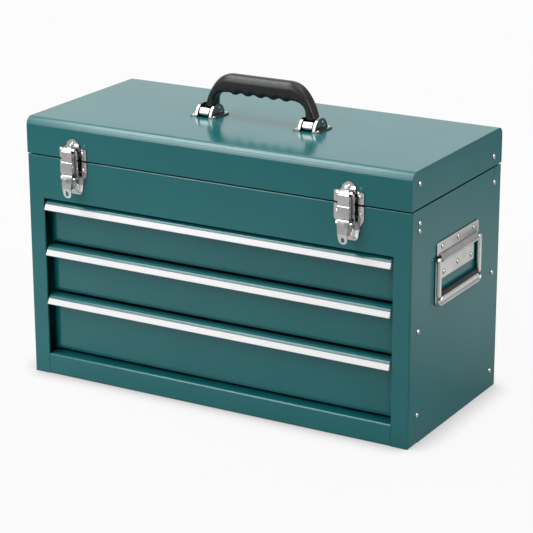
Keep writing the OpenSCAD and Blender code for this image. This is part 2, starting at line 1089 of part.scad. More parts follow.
// Rounded rectangle of a section: u runs across the depth and v from inner to outer
function section_ring(s) =
    let (
        tall = norm(s[0] - s[1]),
        up = (s[0] - s[1]) / tall,
        mid = (s[0] + s[1]) / 2
    )
    [
        for (q = [0 : 3], k = [0 : corner_steps])
            let (
                a = 90 * q + 90 * k / corner_steps,
                r = min(q < 2 ? outer_r : s[3], tall * 0.4),
                su = (q == 0 || q == 3) ? 1 : -1,
                sv = q < 2 ? 1 : -1,
                u = su * (s[2] / 2 - r) + r * cos(a),
                v = sv * (tall / 2 - r) + r * sin(a)
            )
            [mid[0] + up[0] * v, u, mid[1] + up[1] * v]
    ];

module handle_grip() {
    rings = len(grip_sections);
    n = 4 * (corner_steps + 1);
    points = [for (s = grip_sections) each section_ring(s)];
    sides = [
        for (i = [0 : rings - 2], k = [0 : n - 1])
            let (m = (k + 1) % n)
                [i * n + k, i * n + m, (i + 1) * n + m, (i + 1) * n + k]
    ];
    first = [for (k = [n - 1 : -1 : 0]) k];
    last = [for (k = [0 : n - 1]) (rings - 1) * n + k];
    color(black)
        polyhedron(points = points, faces = concat(sides, [first, last]), convexity = 4);
}

// ---- Drop handles ----

end_rivet_places = [
    [-42, rod_z + 14], [0, rod_z + 14], [42, rod_z + 14],
    [-37, rod_z - 18], [0, rod_z - 16], [37, rod_z - 18]
];

module side_handle_plate() {
    back_x = half_w + 0.4;
    slope_h = 7.5;
    color(nickel)
        difference() {
            union() {
                along_x(half_w, end_plate_t) {
                    soft_rect(
                        [-end_plate_w / 2, rod_z + bail_depth / 2 + 0.5],
                        [end_plate_w / 2, rod_z + 20.5],
                        4
                    );
                    soft_rect([-44, rod_z - 25], [44, rod_z + slope_h], 1);
                }
                translate([0, knuckle_hl, 0])
                    rotate([90, 0, 0])
                        linear_extrude(height = 2 * knuckle_hl) {
                            translate([rod_x, rod_z])
                                circle(end_knuckle_r);
                            polygon([
                                [back_x, rod_z - end_knuckle_r + 0.6],
                                [rod_x, rod_z - end_knuckle_r + 0.1],
                                [rod_x + end_knuckle_r * cos(60), rod_z + end_knuckle_r * sin(60)],
                                [half_w + end_plate_t, rod_z + slope_h],
                                [back_x, rod_z + slope_h]
                            ]);
                        }
            }
            translate([rod_x, -knuckle_hl - 1, rod_z])
                rotate([-90, 0, 0])
                    cylinder(r = rod_r + pin_fit, h = 2 * knuckle_hl + 2);
        }
}

// Outline of the bail in (y, z), pulled in by a distance from its outer edge
module bail_outline(inset) {
    r = 9 - min(inset, 5);
    half = bail_w / 2 - inset;
    low = rod_z - bail_h + inset;
    soft_rect([-half, low], [half, rod_z + 2 * r], r);
}

// Web of the bail's channel in (y, z)
module bail_band() {
    difference() {
        bail_outline(0);
        bail_outline(bail_t);
        translate([-bail_w, rod_z + bail_depth / 2])
            square([2 * bail_w, bail_w]);
    }
}

// Flanges of the bail's channel in (y, z): the bar, and two legs whose round lower ends
// stand in a relief groove
module bail_flanges() {
    low = rod_z - bail_h;
    leg_r = bail_leg_w / 2;
    leg_y = bail_w / 2 - leg_r;
    leg_low = low + bail_bar_h + 2.5;
    relief = 0.9;
    difference() {
        intersection() {
            bail_outline(0);
            translate([-bail_w / 2, low])
                square([bail_w, bail_bar_h]);
        }
        for (side = [-1, 1])
            translate([side * leg_y, leg_low])
                circle(leg_r + relief);
    }
    for (side = [-1, 1]) {
        translate([side * leg_y, leg_low])
            circle(leg_r);
        translate([side * leg_y - leg_r, leg_low])
            square([bail_leg_w, rod_z + bail_depth / 2 - leg_low]);
    }
}

module side_bail() {
    x0 = rod_x - bail_depth / 2;
    x1 = rod_x + bail_depth / 2;
    color(nickel)
        difference() {
            intersection() {
                union() {
                    along_x(x0, bail_depth)
                        bail_band();
                    along_x(x0, bail_t)
                        bail_flanges();
                    along_x(x1 - bail_t, bail_t)
                        bail_flanges();
                }
                rotate([90, 0, 0])
                    linear_extrude(height = 2 * bail_w, center = true) {
                        translate([rod_x, rod_z])
                            circle(bail_depth / 2);
                        translate([x0, rod_z - 2 * bail_h])
                            square([bail_depth, 2 * bail_h]);
                    }
            }
            translate([rod_x, -bail_w, rod_z])
                rotate([-90, 0, 0])
                    cylinder(r = rod_r + pin_fit, h = 2 * bail_w);
        }
}

module side_bail_rod() {
    half = bail_w / 2;
    color(nickel)
        translate([rod_x, -half, rod_z])
            rotate([-90, 0, 0])
                cylinder(r = rod_r, h = 2 * half);
}

module side_bail_grip() {
    half = bail_w / 2 - bail_t;
    low = rod_z - bail_h + bail_t;
    grip_h = bail_bar_h + 5 - bail_t;
    color(black)
        along_x(rod_x - bail_depth / 2 + bail_t, bail_depth - 2 * bail_t)
            intersection() {
                bail_outline(bail_t);
                translate([-half, low])
                    square([2 * half, grip_h]);
            }
}

module side_handle_plate_left() {
    mirror([1, 0, 0])
        side_handle_plate();
}

module side_handle_plate_right() {
    side_handle_plate();
}

module side_bail_left() {
    mirror([1, 0, 0])
        side_bail();
}

module side_bail_right() {
    side_bail();
}

module side_bail_rod_left() {
    mirror([1, 0, 0])
        side_bail_rod();
}

module side_bail_rod_right() {
    side_bail_rod();
}

module side_bail_grip_left() {
    mirror([1, 0, 0])
        side_bail_grip();
}

module side_bail_grip_right() {
    side_bail_grip();
}

module side_handle_rivets() {
    color(nickel)
        both_sides()
            for (place = end_rivet_places)
                side_dome(half_w + end_plate_t, place[0], place[1], 3.3, 1.6);
}

// ---- Drawers ----

// Open box behind a drawer front; its front wall closes the back of the front panel
module drawer_tray(i) {
    top = drawer_tops[i];
    low_z = top - drawer_hs[i];
    color(paint)
        difference() {
            union() {
                block([-tray_hw, rim_y, low_z + 0.8], [tray_hw, tray_back, top - tray_drop]);
                block([-face_hw, rim_y, low_z], [face_hw, rim_y + sheet, top - sheet]);
            }
            block(
                [-tray_hw + sheet, rim_y + sheet, low_z + 0.8 + sheet],
                [tray_hw - sheet, tray_back - sheet, top]
            );
        }
}

// Raised face with a sloping border at its sides and bottom
module face_solid(i, inset) {
    top = drawer_tops[i];
    low_z = top - drawer_hs[i];
    plan = [
        [-face_hw + inset, rim_y],
        [-face_hw + border_w + inset / 2, face_y + inset],
        [face_hw - border_w - inset / 2, face_y + inset],
        [face_hw - inset, rim_y]
    ];
    side = [
        [rim_y, low_z + inset],
        [face_y + inset, low_z + border_h + inset / 2],
        [face_y + inset, top - inset],
        [rim_y, top - inset]
    ];
    intersection() {
        along_z(low_z - 1, drawer_hs[i] + 2)
            polygon(plan);
        along_x(-face_hw, 2 * face_hw)
            polygon(side);
    }
}

// Section of the flange and its down-turned lip in (y, z)
module flange_section(top) {
    centre = [nose_y, top - nose_r];
    translate([nose_y, top - sheet])
        square([face_y - nose_y + sheet, sheet]);
    intersection() {
        difference() {
            translate(centre)
                circle(nose_r);
            translate(centre)
                circle(nose_r - sheet);
        }
        polygon([
            centre,
            centre + [0, 2 * nose_r],
            centre + [-2 * nose_r, 2 * nose_r],
            centre + 2 * nose_r * [-cos(lip_tilt), sin(lip_tilt)]
        ]);
    }
    translate(centre)
        rotate(180 - lip_tilt) {
            translate([nose_r - sheet - trim_t - 0.1, 0])
                square([sheet, lip_len - 1.4]);
            translate([nose_r - sheet - trim_t - 0.1, -1])
                square([sheet + trim_t, 1]);
        }
}

// Section of the bright strip that clips over the lip in (y, z)
module pull_section(top) {
    centre = [nose_y, top - nose_r];
    inner = nose_r - sheet - trim_t - 0.1 - 0.1 - trim_t;
    translate(centre)
        rotate(180 - lip_tilt)
            difference() {
                union() {
                    translate([inner, lip_len - 5])
                        square([nose_r - inner, 5]);
                    translate([nose_r - trim_t, 0.1])
                        square([trim_t, lip_len - 1]);
                }
                translate([inner + trim_t, lip_len - 6])
                    square([nose_r - inner - 2 * trim_t, 5]);
            }
}

module drawer_front(i) {
    color(paint) {
        difference() {
            face_solid(i, 0);
            face_solid(i, sheet);
            block(
                [-face_hw + 1.5 * border_w, rim_y - 0.4, drawer_tops[i] - drawer_hs[i] + 1.5 * border_h],
                [face_hw - 1.5 * border_w, rim_y + 1, drawer_tops[i] - 1.5]
            );
        }
        along_x(-pull_hw, 2 * pull_hw)
            flange_section(drawer_tops[i]);
    }
}

module drawer_pull(i) {
    color(trim)
        along_x(-pull_hw, 2 * pull_hw)
            pull_section(drawer_tops[i]);
}

module case_slide_top() {
    case_slide(0);
}

module case_slide_middle() {
    case_slide(1);
}

module case_slide_bottom() {
    case_slide(2);
}

module drawer_tray_top() {
    drawer_tray(0);
}

module drawer_tray_middle() {
    drawer_tray(1);
}

module drawer_tray_bottom() {
    drawer_tray(2);
}

module drawer_front_top() {
    drawer_front(0);
}

module drawer_front_middle() {
    drawer_front(1);
}

module drawer_front_bottom() {
    drawer_front(2);
}

module drawer_pull_top() {
    drawer_pull(0);
}

module drawer_pull_middle() {
    drawer_pull(1);
}

module drawer_pull_bottom() {
    drawer_pull(2);
}

module drawer_slides_top() {
    drawer_slide(0);
}

module drawer_slides_middle() {
    drawer_slide(1);
}

module drawer_slides_bottom() {
    drawer_slide(2);
}

side_panel_left();
side_panel_right();
front_frame();
back_panel();
bottom_pan();
compartment_floor();
slide_post_left();
slide_post_right();
case_slide_top();
case_slide_middle();
case_slide_bottom();
case_rivets();
case_small_rivets();
hinge_case_leaf();
hinge_pin();
latch_base_left();
latch_base_right();
latch_base_pins();
side_handle_plate_left();
side_handle_plate_right();
side_handle_rivets();
lid_shell();
lid_end_left();
lid_end_right();
lid_rivets();
lid_small_rivets();
hinge_lid_leaf();
latch_keeper_left();
latch_keeper_right();
handle_foot_left();
handle_foot_right();
handle_pins();
handle_grip();
handle_knuckle_left();
handle_knuckle_right();
latch_lever_left();
latch_lever_right();
latch_lever_pin_left();
latch_lever_pin_right();
latch_claw_left();
latch_claw_right();
side_bail_left();
side_bail_right();
side_bail_rod_left();
side_bail_rod_right();
side_bail_grip_left();
side_bail_grip_right();
drawer_tray_top();
drawer_front_top();
drawer_pull_top();
drawer_slides_top();
drawer_tray_middle();
drawer_front_middle();
drawer_pull_middle();
drawer_slides_middle();
drawer_tray_bottom();
drawer_front_bottom();
drawer_pull_bottom();
drawer_slides_bottom();
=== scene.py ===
"""Looks of a portable tool box with three drawers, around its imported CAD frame.

Lengths are in metres in the frame's own axes: +X is the box's right, -Y its front and +Z up.
"""

import json
import math

import bmesh
import bpy
from mathutils import Matrix, Vector

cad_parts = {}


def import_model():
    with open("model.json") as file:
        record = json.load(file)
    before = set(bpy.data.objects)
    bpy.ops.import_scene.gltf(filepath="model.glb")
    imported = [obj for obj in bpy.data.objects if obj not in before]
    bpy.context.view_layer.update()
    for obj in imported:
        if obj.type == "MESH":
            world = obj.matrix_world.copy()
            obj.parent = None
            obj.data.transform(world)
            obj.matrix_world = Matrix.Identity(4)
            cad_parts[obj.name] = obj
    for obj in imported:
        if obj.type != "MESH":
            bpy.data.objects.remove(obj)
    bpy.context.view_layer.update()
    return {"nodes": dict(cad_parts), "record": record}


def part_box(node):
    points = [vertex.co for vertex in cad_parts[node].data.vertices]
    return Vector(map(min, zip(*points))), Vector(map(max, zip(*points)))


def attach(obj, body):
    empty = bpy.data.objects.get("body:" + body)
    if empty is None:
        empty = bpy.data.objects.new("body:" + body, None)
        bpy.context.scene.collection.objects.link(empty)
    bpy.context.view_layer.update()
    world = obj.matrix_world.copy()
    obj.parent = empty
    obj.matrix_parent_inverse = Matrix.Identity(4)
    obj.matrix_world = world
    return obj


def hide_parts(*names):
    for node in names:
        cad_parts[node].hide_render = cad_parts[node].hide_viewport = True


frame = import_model()
MM = 0.001
WELD = 0.002 * MM  # points this near are one point

# ---- Sizes that the pieces are worked out from ----

FOOT_X = 71 * MM  # middle of a carrying handle's foot
LID_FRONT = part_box("lid_shell")[0].y
LID_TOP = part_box("lid_shell")[1].z
GRIP_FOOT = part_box("handle_grip")[0].z
GRIP_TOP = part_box("handle_grip")[1].z


def new_object(name, data):
    made = bpy.data.objects.new(name, data)
    bpy.context.scene.collection.objects.link(made)
    return made


def shade_smooth(mesh):
    mesh.polygons.foreach_set("use_smooth", [True] * len(mesh.polygons))


def weigh_normals(piece):
    """Keeps flat faces flat beside smooth ones."""
    normals = piece.modifiers.new("normals", "WEIGHTED_NORMAL")
    normals.keep_sharp = False


# ---- Material helpers ----

# share of clear space round a point at which the painted crevice shade is as dark as it gets, and
# where it ends
CREVICE_DEEP, CREVICE_END = 0.15, 0.85


class Nodes:
    """A node tree with short calls that add nodes and join or set their inputs."""

    def __init__(self, tree, coordinates="Object"):
        self.tree = tree
        self.place = self.node("ShaderNodeTexCoord", coordinates)

    def put(self, value, socket):
        """Joins an output to a socket, or sets the socket to a constant."""
        if isinstance(value, bpy.types.NodeSocket):
            self.tree.links.new(value, socket)
        else:
            socket.default_value = value

    def node(self, kind, output, inputs=None, **settings):
        """Adds a node and returns one of its outputs."""
        made = self.tree.nodes.new(kind)
        for name, value in settings.items():
            setattr(made, name, value)
        for key, value in (inputs or {}).items():
            self.put(value, made.inputs[key])
        return made.outputs[output]

    def stretched(self, scale):
        """The place on the surface, scaled by a different amount along each axis."""
        return self.node("ShaderNodeMapping", "Vector", {"Scale": scale, "Vector": self.place})

    def noise(self, scale, detail=3.0, rough=0.5, place=None):
        return self.node("ShaderNodeTexNoise", "Fac", {
            "Scale": scale, "Detail": detail, "Roughness": rough, "Vector": place or self.place
        })

    def ranged(self, value, low, high, start=0.3, end=0.7, **settings):
        """Maps a value from start..end to low..high. Noise mostly lies between 0.3 and 0.7."""
        return self.node("ShaderNodeMapRange", "Result", {
            "Value": value, "From Min": start, "From Max": end, "To Min": low, "To Max": high
        }, **settings)

    def cloud(self, scale, **settings):
        """Noise over the whole range from 0 to 1."""
        return self.ranged(self.noise(scale, **settings), 0, 1)

    def blend(self, value, first, second):
        """A colour between two, by a value from 0 to 1."""
        ends = {"A": (*first, 1), "B": (*second, 1)}
        return self.node("ShaderNodeMix", "Result", {"Factor": value, **ends}, data_type="RGBA")

    def bump(self, height, strength, distance, under=None):
        inputs = {"Height": height, "Strength": strength, "Distance": distance}
        if under:
            inputs["Normal"] = under
        return self.node("ShaderNodeBump", "Normal", inputs)

    def painted_shade(self, reach, darkest, open_value=1.0):
        """Painted shade: falls from open_value to darkest where other surfaces crowd within reach."""
        openness = self.node("ShaderNodeAmbientOcclusion", "AO", {"Distance": reach}, samples=8)
        return self.ranged(openness, darkest, open_value, CREVICE_DEEP, CREVICE_END)

    def scaled(self, colour, factor):
        inputs = {0: colour, "Scale": factor}
        return self.node("ShaderNodeVectorMath", "Vector", inputs, operation="SCALE")

    def math(self, operation, first, second):
        return self.node("ShaderNodeMath", "Value", {0: first, 1: second}, operation=operation)

    def vector_math(self, operation, middle):
        """A number from the place and a constant vector."""
        inputs = {0: self.place, 1: middle}
        return self.node("ShaderNodeVectorMath", "Value", inputs, operation=operation)


class Coat(Nodes):
    """The nodes of a new material with a Principled shader."""

    def __init__(self, name):
        self.material = bpy.data.materials.new(name)
        self.material.use_nodes = True
        super().__init__(self.material.node_tree)
        self.shader = self.tree.nodes["Principled BSDF"]

    def shade(self, **sockets):
        """Joins or sets the shader's sockets, with _ for a space in a name."""
        for name, value in sockets.items():
            self.put(value, self.shader.inputs[name.replace("_", " ")])


# ---- Materials ----

PAINT_CREVICE = 3.5 * MM  # how near a surface has to stand to paint shade on the paint
NICKEL_CREVICE = 6 * MM


def teal_paint():
    """Smooth semi-gloss coat with a faint orange peel, and painted shade where other surfaces stand
    near.
    """
    m = Coat("teal_paint")
    tint = m.blend(m.cloud(9, detail=4), (0.0052, 0.118, 0.127), (0.0068, 0.130, 0.140))
    peel = m.noise(520, detail=2, rough=0.4)
    m.shade(
        # painted shade: the colour and the reflections darken where other surfaces stand near
        Base_Color=m.scaled(tint, m.painted_shade(PAINT_CREVICE, darkest=0.2)),
        Specular_IOR_Level=m.painted_shade(PAINT_CREVICE, darkest=0.02, open_value=0.5),
        Roughness=m.ranged(m.noise(30), 0.15, 0.19),
        Normal=m.bump(peel, strength=0.12, distance=0.04 * MM),
    )
    return m.material


def nickel_plate(name, dark, pale, darkest_shade):
    """Bright plated steel with faint rolling lines, uneven polish and painted shade where other
    surfaces stand near.
    """
    m = Coat(name)
    tone = m.blend(m.cloud(60, detail=4), dark, pale)
    waves = m.bump(m.noise(260, detail=2), strength=0.25, distance=0.08 * MM)
    lines = m.noise(1, rough=0.6, place=m.stretched((120, 5200, 5200)))
    m.shade(
        Metallic=1.0,
        # painted shade: the colour darkens where other surfaces stand near
        Base_Color=m.scaled(tone, m.painted_shade(NICKEL_CREVICE, darkest_shade)),
        Roughness=m.ranged(m.noise(140, detail=4), 0.10, 0.20),
        Normal=m.bump(lines, strength=0.08, distance=0.03 * MM, under=waves),
    )
    return m.material


def zinc_plate():
    """Dull zinc with fine spangle."""
    m = Coat("zinc_plate")
    spangle = m.cloud(180, detail=5, rough=0.7)
    m.shade(
        Metallic=1.0,
        Base_Color=m.blend(spangle, (0.46, 0.47, 0.48), (0.60, 0.61, 0.62)),
        Roughness=m.ranged(m.noise(90, detail=4), 0.30, 0.46),
        Normal=m.bump(m.noise(700), strength=0.15, distance=0.04 * MM),
    )
    return m.material


def bright_aluminium():
    """Satin strip, drawn along its length."""
    m = Coat("bright_aluminium")
    lines = m.noise(1, detail=4, rough=0.65, place=m.stretched((22, 4200, 4200)))
    m.shade(
        Metallic=0.3,
        Base_Color=m.blend(m.ranged(lines, 0, 1), (0.56, 0.56, 0.565), (0.64, 0.64, 0.645)),
        Roughness=m.ranged(lines, 0.46, 0.56),
        Normal=m.bump(lines, strength=0.12, distance=0.04 * MM),
    )
    return m.material


def black_plastic():
    """Moulded grip with a fine spark-eroded grain."""
    m = Coat("black_plastic")
    grain = m.noise(2600, rough=0.6)
    m.shade(
        Specular_IOR_Level=0.36,
        Base_Color=m.blend(m.cloud(40), (0.0085, 0.0085, 0.009), (0.012, 0.012, 0.0125)),
        Roughness=m.ranged(m.noise(220), 0.28, 0.34),
        Normal=m.bump(grain, strength=0.2, distance=0.04 * MM),
    )
    return m.material


def black_rubber():
    """Matt insert of the drop handles."""
    m = Coat("black_rubber")
    m.shade(
        Base_Color=m.blend(m.cloud(70), (0.011, 0.011, 0.012), (0.018, 0.018, 0.019)),
        Roughness=m.ranged(m.noise(150), 0.5, 0.65),
        Normal=m.bump(m.noise(1500, detail=2), strength=0.3, distance=0.06 * MM),
    )
    return m.material


FINISH = {
    "teal_paint": teal_paint(),
    "nickel_plate": nickel_plate("nickel_plate", (0.64, 0.635, 0.625), (0.76, 0.755, 0.75), 0.1),
    "zinc_plate": zinc_plate(),
    "bright_aluminium": bright_aluminium(),
    "black_plastic": black_plastic(),
    "black_rubber": black_rubber(),
}
# painted shade and painted highlight: a darker copy of the nickel for the carrying handle's feet and
# knuckles, a paler one for the drop handles' bails
SHADED_HANDLE_NICKEL = nickel_plate("shaded_handle_nickel", (0.25, 0.25, 0.247), (0.33, 0.328, 0.325), 0.02)
LIT_BAIL_NICKEL = nickel_plate("lit_bail_nickel", (0.80, 0.795, 0.785), (0.89, 0.885, 0.88), 0.04)
# the darker and paler copies of the nickel, for the pieces whose names start so
LIT_AND_SHADED_NICKEL = {"handle_foot": SHADED_HANDLE_NICKEL, "handle_knuckle": SHADED_HANDLE_NICKEL, "side_bail": LIT_BAIL_NICKEL}
SLOT_OF = {row["node"]: row["material_slot"] for row in frame["record"]["subparts"]}


def finish_of(piece, slot):
    """Gives a piece the material of its slot, or for nickel its darker or paler copy."""
    own = [nickel for start, nickel in LIT_AND_SHADED_NICKEL.items() if piece.name.startswith(start)]
    piece.data.materials.clear()
    piece.data.materials.append(own[0] if own and slot == "nickel_plate" else FINISH[slot])


# ---- CAD nodes: finish and softened edges ----

EDGE = {
    "teal_paint": 0.35 * MM,
    "nickel_plate": 0.25 * MM,
    "zinc_plate": 0.2 * MM,
    "bright_aluminium": 0.2 * MM,
    "black_plastic": 0.3 * MM,
    "black_rubber": 0.6 * MM,
}
UNBEVELLED = ("rivets", "pin", "rod")  # in the names of pieces that are round already
FLAT_ANGLE = math.radians(1)  # faces that meet at less are one face
SHARP_ANGLE = math.radians(40)  # edges sharper than this are rounded


def soften(piece, width):
    """Rounds the sharp edges a little, so that they catch light as folded metal does."""
    shade_smooth(piece.data)
    weld = piece.modifiers.new("weld", "WELD")
    weld.merge_threshold = WELD
    flat = piece.modifiers.new("flat faces", "DECIMATE")
    flat.decimate_type = "DISSOLVE"
    flat.angle_limit = FLAT_ANGLE
    if width:
        bevel = piece.modifiers.new("edges", "BEVEL")
        bevel.width = width
        bevel.segments = 2
        bevel.limit_method = "ANGLE"
        bevel.angle_limit = SHARP_ANGLE
        bevel.use_clamp_overlap = True
    weigh_normals(piece)


for node, piece in frame["nodes"].items():
    slot = SLOT_OF[node]
    finish_of(piece, slot)
    soften(piece, 0 if any(word in node for word in UNBEVELLED) else EDGE[slot])


# ---- Pieces made of rings ----


def mix(a, b, t):
    return a * (1 - t) + b * t


def closed_tubes(*tubes):
    """Points and faces of closed tubes, each given as rings of equal count."""
    points = []
    faces = []
    for rings in tubes:
        count = len(rings[0])
        first = len(points)
        last = first + (len(rings) - 1) * count
        for start in range(first, last, count):
            for k in range(count):
                m = (k + 1) % count
                faces.append((start + k, start + m, start + count + m, start + count + k))
        faces.append(tuple(range(first, first + count))[::-1])
        faces.append(tuple(range(last, last + count)))
        points += [p for ring in rings for p in ring]
    return points, faces


def mesh_piece(name, tubes, slot, body, node):
    """Smooth piece made of closed tubes, which rides on a body in the place of a CAD node."""
    points, faces = closed_tubes(*tubes)
    mesh = bpy.data.meshes.new(name)
    mesh.from_pydata(points, [], faces)
    mesh.update()
    shade_smooth(mesh)
    piece = new_object(name, mesh)
    finish_of(piece, slot)
    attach(piece, body)
    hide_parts(node)
    return piece


def tidy_shell(piece):
    """Merges points that meet and turns the faces outwards."""
    shell = bmesh.new()
    shell.from_mesh(piece.data)
    bmesh.ops.remove_doubles(shell, verts=shell.verts, dist=WELD)
    bmesh.ops.recalc_face_normals(shell, faces=shell.faces)
    shell.to_mesh(piece.data)
    shell.free()
    weigh_normals(piece)


# ---- Carrying handle's grip ----

LEG_STEPS = 8
ELBOW_STEPS = 34
BAR_STEPS = 96
RING_STEPS = 12  # on each corner of a section
BAR_HALF = FOOT_X - 33 * MM
GRIP_LOW = GRIP_TOP - 22.5 * MM  # under the bar, where no groove is cut
GROOVE_PITCH = 16.2 * MM
GROOVE_DEPTH = 2.6 * MM
INNER_LAG = 3 * MM  # from a section's outer to its inner point along x, at the bar's ends
FOOT_DEPTH, LEG_DEPTH, BAR_DEPTH = 16.5 * MM, 18 * MM, 20 * MM
# radii of a section's outer and inner corners
LEG_RADII = (5.5 * MM, 2.2 * MM)
BAR_RADII = (9.2 * MM, 7.5 * MM)
BIGGEST_CORNER = 0.45  # share of a section's height


def groove(x):
    return GROOVE_DEPTH * (1 + math.cos(2 * math.pi * x / GROOVE_PITCH)) / 2


def leg_point(x, z):
    """Point (x, z) in mm from the left foot's middle and the grip's lower end."""
    return Vector((-FOOT_X + x * MM, GRIP_FOOT + z * MM))


OUTER_LEG = (leg_point(-5.6, 0), leg_point(-1.5, 10))
INNER_LEG = (leg_point(7.8, 0), leg_point(7.8, 8.8))
OUTER_ELBOW = (
    OUTER_LEG[1],
    Vector((-FOOT_X + 6.5 * MM, GRIP_TOP - 13.5 * MM)),
    Vector((-BAR_HALF - 19 * MM, GRIP_TOP)),
    Vector((-BAR_HALF, GRIP_TOP)),
)
INNER_ELBOW = (
    INNER_LEG[1],
    leg_point(9.6, 14),
    Vector((-FOOT_X + 14 * MM, GRIP_LOW + 0.5 * MM)),
    Vector((-BAR_HALF - INNER_LAG, GRIP_LOW - groove(BAR_HALF))),
)


def bend_line(a, b, c, d, t):
    """Cubic curve through a and d, drawn towards b and c."""
    first, middle, last = mix(a, b, t), mix(b, c, t), mix(c, d, t)
    return mix(mix(first, middle, t), mix(middle, last, t), t)


def grip_sections():
    """Left half of the grip: an outer and an inner (x, z) point, a depth and the corners' radii."""
    for i in range(LEG_STEPS):
        t = i / LEG_STEPS
        yield mix(*OUTER_LEG, t), mix(*INNER_LEG, t), mix(FOOT_DEPTH, LEG_DEPTH, t), LEG_RADII
    for i in range(ELBOW_STEPS):
        t = i / ELBOW_STEPS
        radii = [mix(leg, bar, t) for leg, bar in zip(LEG_RADII, BAR_RADII)]
        depth = mix(LEG_DEPTH, BAR_DEPTH, t)
        yield bend_line(*OUTER_ELBOW, t), bend_line(*INNER_ELBOW, t), depth, radii
    for i in range(BAR_STEPS + 1):
        t = i / BAR_STEPS
        x = -BAR_HALF * (1 - t)
        inner = Vector((x - INNER_LAG * (1 - t), GRIP_LOW - groove(x)))
        yield Vector((x, GRIP_TOP)), inner, BAR_DEPTH, BAR_RADII


def section_ring(outer, inner, depth, radii):
    """Rounded rectangle round a section, with one radius on the outer corners and one on the inner."""
    across = outer - inner
    tall = across.length
    up = across / tall
    middle = (outer + inner) / 2
    ring = []
    for corner in range(4):
        r = min(radii[corner // 2], tall * BIGGEST_CORNER)
        side_u = 1 if corner in (0, 3) else -1
        side_v = 1 if corner < 2 else -1
        for k in range(RING_STEPS + 1):
            a = math.pi / 2 * (corner + k / RING_STEPS)
            u = side_u * (depth / 2 - r) + r * math.cos(a)
            v = side_v * (tall / 2 - r) + r * math.sin(a)
            ring.append((middle.x + up.x * v, u, middle.y + up.y * v))
    return ring


def grip_moulding():
    half = [section_ring(*section) for section in grip_sections()]
    # a mirrored ring keeps its order round the section, so that its points line up
    mirrored = [[(-x, y, z) for x, y, z in ring] for ring in half[-2::-1]]
    mesh_piece("grip_moulding", [half + mirrored], "black_plastic", "carrying_handle", "handle_grip")


# ---- Carrying handle's knuckles ----

PIVOT = Vector((1.5 * MM, LID_TOP + 9.3 * MM))
BARREL_HALF = 7 * MM
BARREL_R = 4.2 * MM
BARREL_POINTS = 48
RIM = 0.25 * MM  # taken off the edges of both ends
# the foot's ears, which the guard follows
EAR_MIDDLE = Vector((-3.5 * MM, LID_TOP - 1 * MM))
EAR_R = 16 * MM
GUARD_HALF = 6.5 * MM
GUARD_CLEAR = 0.3 * MM
GUARD_BEHIND = -7 * MM  # y of the guard's edge at the leg
GUARD_UNDER = 2 * MM  # from the grip's lower end to the guard's inner side
GUARD_T = 1.6 * MM
FRONT_START = 2  # degrees past the height of the grip's lower end
FRONT_STEPS = 10
# lower lip, which turns back under the leg, with its turn in degrees
LIP_R = 4.5 * MM
LIP_START = 151
LIP_END = 268
LIP_STEPS = 18


def polar(radius, degrees):
    return radius * Vector((math.cos(math.radians(degrees)), math.sin(math.radians(degrees))))


def arc(middle, radius, start, end, steps):
    """Points (y, z) on an arc between two angles in degrees from +y towards +z."""
    return [middle + polar(radius, mix(start, end, i / steps)) for i in range(steps + 1)]


def guard_profile():
    """Guard in (y, z): a flat top, the ears' curve in front, and a lip that turns back below."""
    top = math.degrees(math.asin((GRIP_FOOT - EAR_MIDDLE.y) / EAR_R))
    lip = EAR_MIDDLE + polar(EAR_R - LIP_R, LIP_START)
    lip_outer = LIP_R - GUARD_CLEAR
    return [
        Vector((GUARD_BEHIND, GRIP_FOOT - GUARD_CLEAR)),
        *arc(EAR_MIDDLE, EAR_R - GUARD_CLEAR, 180 - top + FRONT_START, LIP_START, FRONT_STEPS),
        *arc(lip, lip_outer, LIP_START, LIP_END, LIP_STEPS),
        *arc(lip, lip_outer - GUARD_T, LIP_END, LIP_START, LIP_STEPS),
        Vector((GUARD_BEHIND, GRIP_FOOT - GUARD_UNDER)),
    ]


def extruded(profile, middle, half):
    """Rings of a (y, z) outline spread along x, drawn in a little at both ends."""
    centre = sum(profile, Vector((0, 0))) / len(profile)
    rings = []
    for x, inset in ((-half, RIM), (-half + RIM, 0), (half - RIM, 0), (half, RIM)):
        ring = []
        for place in profile:
            drawn = place + (centre - place).normalized() * inset
            ring.append((middle + x, drawn.x, drawn.y))
        rings.append(ring)
    return rings


def knuckle_plating(side_name, side):
    node = "handle_knuckle_" + side_name
    guard = extruded(guard_profile(), side * FOOT_X, GUARD_HALF)
    barrel_profile = arc(PIVOT, BARREL_R, 0, 360, BARREL_POINTS)[:-1]
    barrel = extruded(barrel_profile, side * FOOT_X, BARREL_HALF)
    piece = mesh_piece(node + "_plating", [guard, barrel], "nickel_plate", "carrying_handle", node)
    tidy_shell(piece)


# ---- Drop handles ----

LEG_W = 8 * MM
LEG_END = 14.5 * MM  # height of a leg's round end over the bail's lower edge
LEG_PLAY = 0.6 * MM  # between a leg's arch and its channel
LEG_BACK = 0.4 * MM  # height of a leg's back over the back face
LEG_SIDE = 2.6 * MM  # height at which a leg's sides start to arch
LEG_TIP_CREST = 3.4 * MM
LEG_ARCH = 0.75  # below 1, the arch has a flatter top and fuller shoulders
BAR_H = 12 * MM
CORNER_R = 9 * MM
WEB_T = 1.2 * MM
RELIEF = 1.5 * MM  # groove round a leg's end
CREST = 6 * MM  # height of the channel over its back face
WEB_CREST = 4.3 * MM  # the same where the channel is as narrow as its web
CREST_RISE = 4 * MM  # width over which it rises from one to the other
TOP_SHORT = 0.05 * MM  # by which the round top stops before it closes
UPRIGHT_STEPS = 24
CORNER_STEPS = 16
CROSSBAR_STEPS = 12
ARCH_STEPS = 16
TIP_STEPS = 8
TIP_TURN = math.pi / 2 / 1.05  # short of a quarter turn, so that the last ring keeps some width
